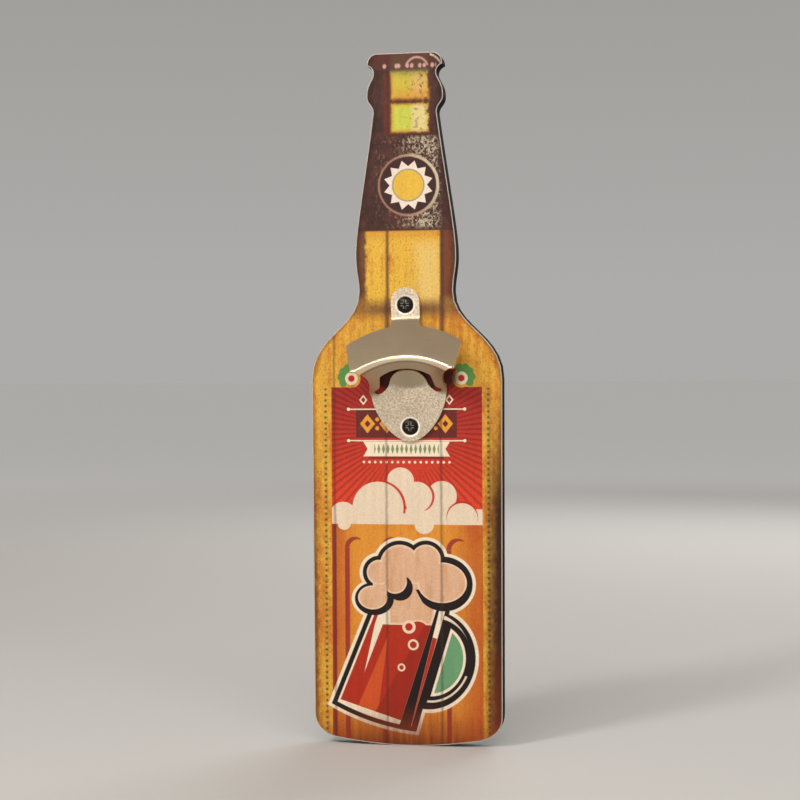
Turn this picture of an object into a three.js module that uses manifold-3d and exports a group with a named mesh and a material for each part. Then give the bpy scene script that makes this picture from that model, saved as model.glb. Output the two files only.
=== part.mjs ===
// Wall-mounted souvenir bottle opener: a bottle-shaped board with a printed face,
// a stamped steel opener screwed to its front and two keyhole hangers let into its back.
// Millimetres, +Z up. The front looks along -Y and the back face lies in the plane y = 0.
import * as THREE from 'three';
import { mergeVertices } from 'three/addons/utils/BufferGeometryUtils.js';
import Module from 'manifold-3d';

const wasm = await Module();
wasm.setup();

// ---- driving dimensions ----
const boardHeight = 400;
const boardThickness = 11.75;
const printThickness = 0.25;
const printInset = 0.6;         // bare rim left round the printed sheet
const clearance = 0.3;          // gap round anything let into the board

const bodyHalf = 55.7;          // half-width of the body at the shoulder
const bodyFootHalf = 55.1;      // the body narrows a little towards its foot
const bottle = {                // [half-width, height] of each station above the body
  shoulder: [bodyHalf, 12],
  neckFoot: [27.6, 62.5],
  neckBelly: [29.5, 83.5],
  collar: [18.6, 166],
  ring: [22.4, 175.5],
  throat: [18.4, 188.5],
  lip: [22, 193.2],
  crown: [16.3, boardHeight / 2],
};

const openerTilt = -2.1;        // degrees: the opener was screwed on slightly askew
const upperScrewZ = 55;
const screwSpacing = 70.3;
const sheetThickness = 2;

const tabHalf = 8.3;
const tabTop = 10;
const tabBend = -7.5;           // heights on the opener are measured from its upper screw
const hoodSlope = 0.717;        // rise per millimetre of drop
const hoodRadius = 59.4;        // upper edge of the hood
const hoodApex = -12.1;
const hoodCorner = [33.4, -22.4];
const wingFoot = [29.9, -37.1];
const foldRadius = 47.5;        // front fold, seen from the front
const foldApex = -30.8;
const foldHalf = 25.6;
const lipRadius = 27;           // free edge of the jaw
const lipApex = -36.9;
const lipHalf = 14.3;
const legFoot = -51.6;          // bend where the legs meet the lower plate
const legHalf = 21.3;
const legInner = 15.2;
const legNarrow = -44.8;        // height where the legs are slimmest
const footHalf = 22.6;          // rounded corners where the legs run out into the plate
const plateHalf = 21.7;
const plateBottom = -78.8;
const tongue = { tip: -37.8, half: 11.1, shoulder: -45.2, sag: -48, flare: 15.3, rise: 0.64 };
const bendRadius = 2.4;

const openerScrew = {
  headRadius: 4.7, domeHeight: 1.9, sinkDepth: 1.7, shankRadius: 2, coreRadius: 1.5,
  length: 11, threadPitch: 1.9, recessWidth: 1.1, recessSpan: 4.6, recessDepth: 2, sides: 20,
};
const countersinkRadius = 5.5;

const hanger = { halfLength: 22, halfWidth: 8, thickness: 1.25, screwOffset: 16.5 };
const keyhole = { headRadius: 4.4, slotRadius: 2.2, slotLength: 9, pocketDepth: 3.9 };
const hangerHeights = { upper: 112, lower: -150 };
const hangerScrew = {
  headRadius: 2.5, domeHeight: 0.05, sinkDepth: 1.1, shankRadius: 1.25, coreRadius: 0.95,
  length: 8, threadPitch: 1.6, recessWidth: 0.6, recessSpan: 2.6, recessDepth: 0.8, sides: 12,
};

const curveSteps = 10;
const roundSteps = 20;
const faceY = -(boardThickness + printThickness);

// ---- helpers ----
function toSolid(geometry) {
  const bare = geometry.clone();
  bare.deleteAttribute('normal');
  bare.deleteAttribute('uv');
  const merged = mergeVertices(bare, 1e-4);
  const vertProperties = new Float32Array(merged.attributes.position.array);
  const triVerts = new Uint32Array(merged.index.array);
  return new wasm.Manifold(new wasm.Mesh({ numProp: 3, vertProperties, triVerts }));
}

function toGeometry(solid) {
  const mesh = solid.getMesh();
  const geometry = new THREE.BufferGeometry();
  geometry.setAttribute('position', new THREE.BufferAttribute(mesh.vertProperties, 3));
  geometry.setIndex(new THREE.BufferAttribute(mesh.triVerts, 1));
  geometry.computeVertexNormals();
  return geometry;
}

// Closed outline from its right-hand half, which runs from one end of the axis to the other.
function mirrored(half) {
  const left = half.slice(1, -1).reverse().map((point) => new THREE.Vector2(-point.x, point.y));
  return new THREE.Shape([...half, ...left]);
}

// Flat outline in x and z, made solid between two y planes.
function slab(shape, nearY, farY) {
  const geometry = new THREE.ExtrudeGeometry(shape, {
    depth: nearY - farY, bevelEnabled: false, curveSegments: curveSteps,
  });
  geometry.rotateX(Math.PI / 2);
  geometry.translate(0, nearY, 0);
  return toSolid(geometry);
}

function roundBar(radius, x, z, nearY, farY, farRadius = radius) {
  const geometry = new THREE.CylinderGeometry(radius, farRadius, nearY - farY, roundSteps);
  geometry.translate(x, (nearY + farY) / 2, z);
  return toSolid(geometry);
}

// Upright strip with round ends, centred on a height.
function stadium(halfLength, halfWidth, z) {
  const straight = halfLength - halfWidth;
  const shape = new THREE.Shape();
  shape.absarc(0, z + straight, halfWidth, 0, Math.PI, false);
  shape.absarc(0, z - straight, halfWidth, Math.PI, 2 * Math.PI, false);
  return shape;
}

function finish(name, solid, color, roughness, metalness) {
  const material = new THREE.MeshStandardMaterial({ color, roughness, metalness });
  const mesh = new THREE.Mesh(toGeometry(solid), material);
  mesh.name = name;
  return mesh;
}

// ---- bottle outline ----
function bottleHalf() {
  const foot = -boardHeight / 2;
  const { shoulder, neckFoot, neckBelly, collar, ring, throat, lip, crown } = bottle;
  const path = new THREE.Path();
  path.moveTo(0, foot);
  path.quadraticCurveTo(20, foot, 41, foot + 3.6);
  path.bezierCurveTo(48, foot + 4.8, bodyFootHalf, foot + 9, bodyFootHalf, foot + 18);
  path.lineTo(...shoulder);
  path.bezierCurveTo(bodyHalf, 38, neckFoot[0], 42, ...neckFoot);
  path.bezierCurveTo(neckFoot[0], 70, neckBelly[0], 75, ...neckBelly);
  path.bezierCurveTo(neckBelly[0], 98, 24, 125, ...collar);
  path.bezierCurveTo(collar[0] + 0.3, 170.5, ring[0], 170.5, ...ring);
  path.bezierCurveTo(ring[0], 183, throat[0], 184.5, ...throat);
  path.quadraticCurveTo(throat[0] + 0.2, 191.8, ...lip);
  path.bezierCurveTo(lip[0] + 0.2, 196.8, 19.6, crown[1], ...crown);
  path.lineTo(0, crown[1]);
  return path.getPoints(curveSteps);
}

// The same half outline moved inwards by a distance, square to its own direction.
function insetHalf(half, distance) {
  return half.map((point, i) => {
    const before = half[Math.max(i - 1, 0)];
    const after = half[Math.min(i + 1, half.length - 1)];
    const along = after.clone().sub(before).normalize();
    const onAxis = i === 0 || i === half.length - 1;
    const x = onAxis ? 0 : point.x - along.y * distance;
    return new THREE.Vector2(x, point.y + along.x * distance);
  });
}

// ---- stamped opener ----
const arcDrop = (radius, u) => radius - Math.sqrt(radius * radius - u * u);

function softMax(a, b, blend) {
  const overlap = Math.max(blend - Math.abs(a - b), 0) / blend;
  return Math.max(a, b) + overlap * overlap * blend / 4;
}

const softMin = (a, b, blend) => -softMax(-a, -b, blend);

// Depth of blend that rounds a corner between two slopes to the bend radius.
const bendBlend = (slopeGap) => bendRadius * slopeGap * slopeGap / 2;

const foldLine = (u) => foldApex - arcDrop(foldRadius, u);
const hoodRise = (w) => (tabBend - w) * hoodSlope;

// Height of the bracket's front face above the board.
function bracketRise(u, w) {
  const fold = foldLine(Math.min(Math.abs(u), foldHalf + 2));
  const legSlope = hoodRise(fold) / (fold - legFoot);
  const jawRise = (w - legFoot) * legSlope;
  const shell = softMin(hoodRise(w), jawRise, bendBlend(hoodSlope + legSlope));
  const bend = w > (tabBend + legFoot) / 2 ? hoodSlope : legSlope;
  return sheetThickness + softMax(0, shell, bendBlend(bend));
}

function tongueRise(u, w) {
  const base = tongue.sag + (tongue.shoulder - tongue.sag) * (u / tongue.half) ** 2;
  return sheetThickness + softMax(0, (w - base) * tongue.rise, bendBlend(tongue.rise));
}

// Sheet of even thickness over a grid of columns u and, in each column, rows w running down.
function bentSheet(columns, rowsAt, rise) {
  const step = 0.01;
  const position = [];
  const index = [];
  const rows = rowsAt(0).length;
  const back = columns.length * rows;
  const behind = [];
  for (const u of columns) {
    for (const w of rowsAt(u)) {
      const slopeU = (rise(u + step, w) - rise(u - step, w)) / (2 * step);
      const slopeW = (rise(u, w + step) - rise(u, w - step)) / (2 * step);
      const inward = new THREE.Vector3(slopeU, 1, slopeW).setLength(sheetThickness);
      const y = faceY - rise(u, w);
      position.push(u, y, w);
      behind.push(u + inward.x, y + inward.y, w + inward.z);
    }
  }
  const quad = (a, b, c, d) => index.push(a, b, c, a, c, d);
  const last = (columns.length - 1) * rows;
  for (let i = 0; i < last; i += rows) {
    for (let j = 0; j < rows - 1; j += 1) {
      const [a, b, c, d] = [i + j, i + j + 1, i + rows + j + 1, i + rows + j];
      quad(a, b, c, d);
      quad(back + a, back + d, back + c, back + b);
    }
    const [top, foot] = [i, i + rows - 1];
    quad(top, top + rows, back + top + rows, back + top);
    quad(foot + rows, foot, back + foot, back + foot + rows);
  }
  for (let j = 0; j < rows - 1; j += 1) {
    quad(j + 1, j, back + j, back + j + 1);
    quad(last + j, last + j + 1, back + last + j + 1, back + last + j);
  }
  const geometry = new THREE.BufferGeometry();
  const points = new Float32Array([...position, ...behind]);
  geometry.setAttribute('position', new THREE.BufferAttribute(points, 3));
  geometry.setIndex(index);
  return toSolid(geometry);
}

const spread = (from, to, count) =>
  Array.from({ length: count }, (_, i) => from + (to - from) * i / (count - 1));

function bracketRows(u) {
  const fold = foldLine(u);
  const roundBend = [1.5, 0.5, -0.5, -1.5];
  const roundFold = [2.6, 1.7, 0.8, 0, -0.8, -1.7, -2.6];
  return [
    tabTop + 1, ...roundBend.map((d) => tabBend + d),
    ...spread(tabBend - 3, fold + 4, 4), ...roundFold.map((d) => fold + d),
    ...spread((fold + legFoot) / 2 - 1.5, legFoot + 2.6, 2),
    ...[1.4, 0.5, -0.5, -1.4, -2.4].map((d) => legFoot + d), plateBottom - 1,
  ];
}

function bracketOutline() {
  const [cornerU, cornerW] = hoodCorner;
  const centre = hoodApex - hoodRadius;
  const angleAt = (u) => Math.acos(u / hoodRadius);
  const path = new THREE.Path();
  path.moveTo(0, tabTop);
  path.absarc(0, tabTop - tabHalf, tabHalf, Math.PI / 2, 0, true);
  path.lineTo(tabHalf, tabBend);
  path.lineTo(tabHalf + 0.3, tabBend - 3.6);
  path.quadraticCurveTo(tabHalf + 0.4, hoodApex - 0.7, tabHalf + 2.2, hoodApex - 0.95);
  path.absarc(0, centre, hoodRadius, angleAt(tabHalf + 2.3), angleAt(cornerU - 1.2), true);
  path.quadraticCurveTo(cornerU + 0.1, cornerW, cornerU - 0.3, cornerW - 1.6);
  path.lineTo(wingFoot[0] + 0.2, wingFoot[1] + 0.8);
  path.quadraticCurveTo(wingFoot[0], wingFoot[1], wingFoot[0] - 0.8, wingFoot[1] - 0.2);
  path.lineTo(foldHalf + 0.6, foldLine(foldHalf) + 0.2);
  path.lineTo(foldHalf - 0.5, foldLine(foldHalf) - 0.8);
  path.bezierCurveTo(foldHalf - 2.2, foldLine(foldHalf) - 1.9, legHalf, -41, legHalf, legNarrow);
  path.lineTo(legHalf, legFoot + 4.4);
  path.quadraticCurveTo(footHalf + 0.1, legFoot + 3.2, footHalf, legFoot + 1.8);
  path.quadraticCurveTo(footHalf - 0.2, legFoot, plateHalf, legFoot - 1.2);
  path.bezierCurveTo(plateHalf - 1, -62, plateHalf / 2, plateBottom, 0, plateBottom);
  return mirrored(path.getPoints(curveSteps));
}

function windowOutline() {
  const centre = lipApex - lipRadius;
  const path = new THREE.Path();
  path.moveTo(0, lipApex);
  path.absarc(0, centre, lipRadius, Math.PI / 2, Math.acos(lipHalf / lipRadius), true);
  path.bezierCurveTo(legInner, -41.9, legInner, legNarrow, legInner + 1, legFoot + 4.4);
  path.bezierCurveTo(17.4, legFoot + 2.6, 19.4, legFoot + 3, 19.4, legFoot + 1.9);
  path.quadraticCurveTo(19.2, legFoot + 0.5, 17.2, legFoot + 0.5);
  path.lineTo(tongue.flare, legFoot + 0.6);
  path.lineTo(tongue.flare - 1, legFoot - 3);
  path.lineTo(0, legFoot - 3);
  return mirrored(path.getPoints(curveSteps));
}

function tongueOutline() {
  const path = new THREE.Path();
  path.moveTo(0, tongue.tip);
  path.bezierCurveTo(6.5, tongue.tip, 10, -41, tongue.half, tongue.shoulder);
  path.quadraticCurveTo(tongue.half + 1.5, legFoot + 2.2, tongue.flare + 0.4, legFoot + 0.8);
  path.lineTo(tongue.flare + 0.4, legFoot - 4);
  path.lineTo(0, legFoot - 4);
  return mirrored(path.getPoints(curveSteps));
}

function openerBracket() {
  const cutNear = faceY + 1;
  const cutFar = faceY - 40;
  const shell = bentSheet(spread(-35, 35, 29), bracketRows, bracketRise)
    .intersect(slab(bracketOutline(), cutNear, cutFar))
    .subtract(slab(windowOutline(), cutNear, cutFar));
  const tongueRows = () => [...spread(tongue.tip + 1, tongue.sag, 8), -49, -50, legFoot - 5];
  const tooth = bentSheet(spread(-16.2, 16.2, 15), tongueRows, tongueRise)
    .intersect(slab(tongueOutline(), cutNear, cutFar));
  const front = faceY - sheetThickness;
  const hole = openerScrew.shankRadius + clearance + 0.2;
  return [0, -screwSpacing].reduce(
    (solid, w) => solid
      .subtract(roundBar(hole, 0, w, cutNear, cutFar))
      .subtract(roundBar(hole, 0, w, faceY, front - 0.5, countersinkRadius + 0.8)),
    shell.add(tooth),
  );
}

// ---- screws: head towards -Y, underside of the fixed piece at y = 0 ----
function screw(spec, pieceThickness) {
  const front = -pieceThickness;
  const neck = front + spec.sinkDepth;
  const tip = spec.length - pieceThickness;
  const taper = 2 * spec.shankRadius;
  const profile = [new THREE.Vector2(0, front - spec.domeHeight)];
  const domeSteps = Math.round(spec.sides / 4);
  for (let i = 1; i <= domeSteps; i += 1) {
    const angle = Math.PI / 2 * i / domeSteps;
    const r = spec.headRadius * Math.sin(angle);
    profile.push(new THREE.Vector2(r, front - spec.domeHeight * Math.cos(angle)));
  }
  profile.push(new THREE.Vector2(spec.headRadius, front + 0.25));
  profile.push(new THREE.Vector2(spec.shankRadius, neck + 0.3));
  for (let y = neck + 1.2; y < tip - taper; y += spec.threadPitch) {
    profile.push(new THREE.Vector2(spec.coreRadius, y));
    profile.push(new THREE.Vector2(spec.shankRadius, y + spec.threadPitch * 0.3));
    profile.push(new THREE.Vector2(spec.coreRadius, y + spec.threadPitch * 0.6));
  }
  profile.push(new THREE.Vector2(spec.coreRadius, tip - taper));
  profile.push(new THREE.Vector2(0, tip));
  const body = toSolid(new THREE.LatheGeometry(profile, spec.sides));
  const top = front - spec.domeHeight;
  return [0, 1].reduce((solid, turn) => {
    const blade = new THREE.BoxGeometry(spec.recessSpan, 2 * spec.recessDepth, spec.recessWidth);
    blade.rotateY(turn * Math.PI / 2);
    blade.translate(0, top, 0);
    return solid.subtract(toSolid(blade));
  }, body);
}

// ---- keyhole hangers: faces flush with the back of the board ----
function keyholeCut(nearY, farY, grow) {
  const { headRadius, slotRadius, slotLength } = keyhole;
  const slot = new THREE.BoxGeometry(2 * (slotRadius + grow), nearY - farY, slotLength);
  slot.translate(0, (nearY + farY) / 2, slotLength / 2 - 2);
  return roundBar(headRadius + grow, 0, -3, nearY, farY)
    .add(toSolid(slot))
    .add(roundBar(slotRadius + grow, 0, slotLength - 2, nearY, farY));
}

function hangerPlate() {
  const { halfLength, halfWidth, thickness, screwOffset } = hanger;
  const plate = slab(stadium(halfLength, halfWidth, 0), 0, -thickness)
    .subtract(keyholeCut(1, -thickness - 1, 0));
  const hole = hangerScrew.shankRadius + clearance;
  return [-screwOffset, screwOffset].reduce(
    (solid, z) => solid
      .subtract(roundBar(hole, 0, z, 1, -thickness - 1))
      .subtract(roundBar(hangerScrew.headRadius + 0.9, 0, z, 0.5, -thickness, hole)),
    plate,
  );
}

// ---- board and print ----
function screwSites() {
  const tilt = THREE.MathUtils.degToRad(openerTilt);
  return [0, -screwSpacing].map((w) => [w * Math.sin(tilt), upperScrewZ + w * Math.cos(tilt)]);
}

function backingBoard() {
  const { halfLength, halfWidth, thickness, screwOffset } = hanger;
  let board = slab(mirrored(bottleHalf()), 0, -boardThickness);
  for (const z of Object.values(hangerHeights)) {
    const recess = stadium(halfLength + clearance, halfWidth + clearance, z);
    const pocket = stadium(keyhole.slotLength + 2, 5.6, z + 1.5);
    board = board
      .subtract(slab(recess, 1, -thickness))
      .subtract(slab(pocket, 1, -keyhole.pocketDepth));
    for (const offset of [-screwOffset, screwOffset]) {
      const pilot = hangerScrew.shankRadius + clearance;
      board = board.subtract(roundBar(pilot, 0, z + offset, 1, -hangerScrew.length - 0.5));
    }
  }
  const bore = openerScrew.shankRadius + clearance;
  const boreEnd = faceY + openerScrew.length - sheetThickness + 0.4;
  return screwSites().reduce(
    (solid, [x, z]) => solid.subtract(roundBar(bore, x, z, boreEnd, faceY - 1)),
    board,
  );
}

function printedFace() {
  const sheet = slab(mirrored(insetHalf(bottleHalf(), printInset)), -boardThickness, faceY);
  const bore = openerScrew.shankRadius + clearance;
  return screwSites().reduce(
    (solid, [x, z]) => solid.subtract(roundBar(bore, x, z, 0, faceY - 1)),
    sheet,
  );
}

// ---- assembly ----
const steel = 0xbdb2a2;
const zinc = 0xb9bcbe;
const blackOxide = 0x1b1a19;

const object = new THREE.Group();
object.add(finish('backing_board', backingBoard(), 0x1c1714, 0.75, 0));
object.add(finish('printed_face', printedFace(), 0xcf8a34, 0.5, 0));

const opener = new THREE.Group();
opener.position.set(0, 0, upperScrewZ);
opener.rotation.y = THREE.MathUtils.degToRad(openerTilt);
opener.add(finish('opener_bracket', openerBracket(), steel, 0.35, 1));
for (const [place, w] of [['upper', 0], ['lower', -screwSpacing]]) {
  const solid = screw(openerScrew, sheetThickness).translate([0, faceY, w]);
  opener.add(finish(`opener_screw_${place}`, solid, blackOxide, 0.4, 1));
}
object.add(opener);

for (const [place, z] of Object.entries(hangerHeights)) {
  const plate = finish(`hanger_plate_${place}`, hangerPlate(), zinc, 0.35, 1);
  plate.position.z = z;
  object.add(plate);
  for (const [side, offset] of [['low', -hanger.screwOffset], ['high', hanger.screwOffset]]) {
    const solid = screw(hangerScrew, hanger.thickness).rotate([0, 0, 180]);
    const fixing = finish(`hanger_screw_${place}_${side}`, solid, zinc, 0.35, 1);
    fixing.position.set(0, -hanger.thickness, z + offset);
    object.add(fixing);
  }
}

export default object;
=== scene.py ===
import math
import bmesh
import bpy
from mathutils import Matrix, Quaternion, Vector


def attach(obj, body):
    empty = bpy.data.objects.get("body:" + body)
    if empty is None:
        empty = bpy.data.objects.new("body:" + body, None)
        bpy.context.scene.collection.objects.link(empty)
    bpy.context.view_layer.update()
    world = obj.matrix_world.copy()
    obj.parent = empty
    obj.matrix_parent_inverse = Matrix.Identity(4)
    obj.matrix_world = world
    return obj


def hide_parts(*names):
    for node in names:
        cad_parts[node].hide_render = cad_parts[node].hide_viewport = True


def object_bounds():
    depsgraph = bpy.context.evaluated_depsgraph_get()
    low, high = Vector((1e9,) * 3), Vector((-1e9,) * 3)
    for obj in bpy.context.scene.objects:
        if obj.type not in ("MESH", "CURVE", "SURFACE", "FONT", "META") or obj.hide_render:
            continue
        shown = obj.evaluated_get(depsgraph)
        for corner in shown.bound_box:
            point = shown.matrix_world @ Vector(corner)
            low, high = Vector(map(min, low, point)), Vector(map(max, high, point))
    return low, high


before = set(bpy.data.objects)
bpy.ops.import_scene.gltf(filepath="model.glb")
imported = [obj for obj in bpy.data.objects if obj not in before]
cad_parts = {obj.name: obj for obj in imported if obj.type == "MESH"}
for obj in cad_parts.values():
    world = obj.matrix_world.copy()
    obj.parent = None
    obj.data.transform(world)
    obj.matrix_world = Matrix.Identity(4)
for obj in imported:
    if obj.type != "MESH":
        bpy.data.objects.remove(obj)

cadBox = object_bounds()
mm = 0.001


# stage: camera, lights and floor

view = {"aim": (-0.0036, -0.012, 0.0001), "distance": 1.0104, "azimuth": 9.9, "elevation": 0.88,
        "roll": -0.32, "lens": 78.75, "sensor": 36}


def placeCamera():
    azimuth, elevation = math.radians(view["azimuth"]), math.radians(view["elevation"])
    away = Vector((math.sin(azimuth) * math.cos(elevation),
                   -math.cos(azimuth) * math.cos(elevation), math.sin(elevation)))
    lens = bpy.data.cameras.new("camera")
    lens.lens = view["lens"]
    lens.sensor_width = view["sensor"]
    camera = bpy.data.objects.new("camera", lens)
    bpy.context.scene.collection.objects.link(camera)
    turn = (-away).to_track_quat("-Z", "Y") @ Quaternion((0, 0, 1), math.radians(view["roll"]))
    camera.rotation_mode = "QUATERNION"
    camera.rotation_quaternion = turn
    camera.location = Vector(view["aim"]) + away * view["distance"]
    bpy.context.scene.camera = camera


studio = {
    "key": {"at": (-0.75, -1.05, 1.05), "size": (0.26, 0.26), "watts": 7, "colour": (1.0, 0.97, 0.93)},
    "strip": {"at": (0.0, -1.35, 1.1), "size": (3.0, 0.24), "watts": 17, "colour": (1.0, 0.97, 0.93)},
    "front": {"at": (-0.45, -2.3, 0.1), "size": (1.15, 1.15), "watts": 6.6, "colour": (1.0, 0.96, 0.90)},
    "rear": {"at": (0.4, 1.3, 0.9), "size": (1.2, 1.2), "watts": 10, "colour": (1.0, 0.99, 0.97)},
}
sky = {"horizon": (0.80, 0.79, 0.77, 1), "top": (0.30, 0.25, 0.20, 1), "rise": (0.05, 0.75),
       "strength": 0.52}


def lightStudio():
    for name, lamp in studio.items():
        data = bpy.data.lights.new(name, "AREA")
        data.shape = "RECTANGLE"
        data.size, data.size_y = lamp["size"]
        data.energy = lamp["watts"]
        data.color = lamp["colour"]
        light = bpy.data.objects.new(name, data)
        light.location = lamp["at"]
        light.visible_camera = False
        light.rotation_euler = (-Vector(lamp["at"])).to_track_quat("-Z", "Y").to_euler()
        bpy.context.scene.collection.objects.link(light)
    world = bpy.data.worlds.new("studio")
    world.use_nodes = True
    tree = world.node_tree
    where = tree.nodes.new("ShaderNodeTexCoord")
    split = tree.nodes.new("ShaderNodeSeparateXYZ")
    ramp = tree.nodes.new("ShaderNodeValToRGB")
    for stop, position, name in zip(ramp.color_ramp.elements, sky["rise"], ("horizon", "top")):
        stop.position = position
        stop.color = sky[name]
    tree.links.new(where.outputs["Generated"], split.inputs[0])
    tree.links.new(split.outputs["Z"], ramp.inputs[0])
    tree.links.new(ramp.outputs[0], tree.nodes["Background"].inputs["Color"])
    tree.nodes["Background"].inputs["Strength"].default_value = sky["strength"]
    bpy.context.scene.world = world
    bpy.context.scene.view_settings.view_transform = "Standard"


# shader wiring

def colour(red, green, blue):                      # screen colour, 0 to 255, as linear light
    def linear(value):
        value /= 255
        return value / 12.92 if value <= 0.04045 else ((value + 0.055) / 1.055) ** 2.4
    return linear(red), linear(green), linear(blue), 1


class Wire:                                        # a socket that can stand in a sum
    def __init__(self, finish, socket):
        self.finish = finish
        self.socket = socket

    def __add__(self, other):
        return self.finish.math("ADD", self, other)

    def __radd__(self, other):
        return self.finish.math("ADD", other, self)

    def __sub__(self, other):
        return self.finish.math("SUBTRACT", self, other)

    def __rsub__(self, other):
        return self.finish.math("SUBTRACT", other, self)

    def __mul__(self, other):
        return self.finish.math("MULTIPLY", self, other)

    def __rmul__(self, other):
        return self.finish.math("MULTIPLY", other, self)

    def __truediv__(self, other):
        return self.finish.math("DIVIDE", self, other)

    def __rtruediv__(self, other):
        return self.finish.math("DIVIDE", other, self)

    def __neg__(self):
        return self.finish.math("MULTIPLY", self, -1)

    def __abs__(self):
        return self.finish.math("ABSOLUTE", self)


class Finish:                                      # one material and the nodes that make it
    def __init__(self, name, **shader):
        self.material = bpy.data.materials.new(name)
        self.material.use_nodes = True
        self.tree = self.material.node_tree
        self.shader = self.tree.nodes["Principled BSDF"]
        self.put(**shader)

    def plug(self, socket, value):
        if isinstance(value, Wire):
            self.tree.links.new(value.socket, socket)
        else:
            socket.default_value = value

    def put(self, **values):                       # sets or links the shader's own sockets
        for key, value in values.items():
            self.plug(self.shader.inputs[key.replace("_", " ")], value)

    def node(self, kind, settings=None, sockets=None, out=0):
        made = self.tree.nodes.new("ShaderNode" + kind)
        for key, value in (settings or {}).items():
            if key == "stops":
                self.stops(made.color_ramp, value)
            else:
                setattr(made, key, value)
        for key, value in (sockets or {}).items():
            self.plug(made.inputs[key], value)
        return Wire(self, made.outputs[out])

    def stops(self, ramp, stops):
        while len(ramp.elements) < len(stops):
            ramp.elements.new(1)
        for element, (position, value) in zip(ramp.elements, stops):
            element.position = position
            element.color = value if isinstance(value, tuple) else (value, value, value, 1)

    def math(self, operation, *terms, clamp=False):
        settings = {"operation": operation, "use_clamp": clamp}
        return self.node("Math", settings, dict(enumerate(terms)))

    def vector(self, operation, *terms, out=0):
        return self.node("VectorMath", {"operation": operation}, dict(enumerate(terms)), out)

    def place(self):                               # the point on the piece, in millimetres
        point = self.node("TexCoord", out="Object")
        return self.vector("MULTIPLY", point, (1000, 1000, 1000))

    def noise(self, point, stretch, detail=2, rough=0.5):
        scaled = self.vector("MULTIPLY", point, stretch)
        return self.node("TexNoise", None, {"Vector": scaled, "Scale": 1, "Detail": detail,
                                            "Roughness": rough})

    def blend(self, mask, under, over):            # over shows where mask is 1
        return self.node("Mix", {"data_type": "RGBA"}, {0: mask, 6: under, 7: over}, 2)

    def shade(self, base, amount):                 # a colour made lighter or darker
        grey = self.node("CombineColor", None, {0: amount, 1: amount, 2: amount})
        return self.node("Mix", {"data_type": "RGBA", "blend_type": "MULTIPLY"},
                         {0: 1, 6: base, 7: grey}, 2)

    def ease(self, value, low, high):              # 0 at low, 1 at high, smooth between
        settings = {"interpolation_type": "SMOOTHSTEP"}
        return self.node("MapRange", settings, {0: value, 1: low, 2: high, 3: 0, 4: 1})

    def bump(self, height, distance, strength=1):
        return self.node("Bump", None, {"Height": height, "Distance": distance,
                                        "Strength": strength})


# printed face: the picture is drawn in millimetres on the board

artwork = {
    "seams": (-42.4, -11.8, 20.2, 48.3), "neckSeams": (-10.6, 21.4),
    "panelHalf": 44.1, "panelTop": 7.5, "panelFoot": -71.8, "shoulderTop": 18.5, "shoulderHalf": 30,
    "rosette": (32.2, 12.6), "rosetteNotch": 5.4, "woodLeft": -23.6, "woodRight": 20.4,
    "dotLine": 47.6, "dotPitch": 3.3, "dotRadius": 0.82, "dotsFrom": -193, "dotsTo": 7,
    # ovals of painted shade behind the opener's window and painted shadow right of its hood
    "shadeBehindHood": (1.5, 13, 21, 9), "shadowBesideHood": (25.5, 13, 7, 8),
}
inks = {
    "yellow": colour(232, 182, 66), "orange": colour(208, 126, 44), "paleWood": colour(236, 206, 132),
    "umber": colour(150, 78, 34), "brown": colour(94, 56, 46), "plum": colour(94, 50, 42),
    "dark": colour(64, 40, 36), "burnt": colour(44, 20, 14), "rust": colour(134, 50, 20),
    "maroon": colour(104, 42, 36), "capPink": colour(218, 166, 158), "glow": colour(206, 184, 68),
    "glowGreen": colour(202, 204, 80), "glowPale": colour(228, 206, 146), "amber": colour(214, 150, 58),
    "amberPale": colour(218, 176, 104), "bronze": colour(178, 130, 108), "lichen": colour(222, 204, 172),
    "cream": colour(246, 228, 200), "petal": colour(244, 222, 206), "sun": colour(232, 184, 68),
    "sunRim": colour(150, 162, 122), "crimson": colour(172, 46, 36), "red": colour(226, 70, 40),
    "ray": colour(120, 28, 28), "gold": colour(236, 160, 58), "leaf": colour(96, 150, 76),
    "dotRed": colour(202, 38, 32), "olive": colour(112, 134, 76), "cloud": colour(236, 214, 186),
    "lowOrange": colour(228, 142, 50), "lowRed": colour(184, 58, 24), "stripe": colour(148, 34, 42),
    "line": colour(34, 22, 20), "foam": colour(228, 182, 146), "foamPale": colour(244, 214, 184),
    "foamWarm": colour(216, 158, 114), "beer": colour(180, 48, 27), "beerLight": colour(212, 84, 38),
    "beerDark": colour(156, 40, 26), "green": colour(110, 160, 116), "dotGreen": colour(66, 100, 52),
}


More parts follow.
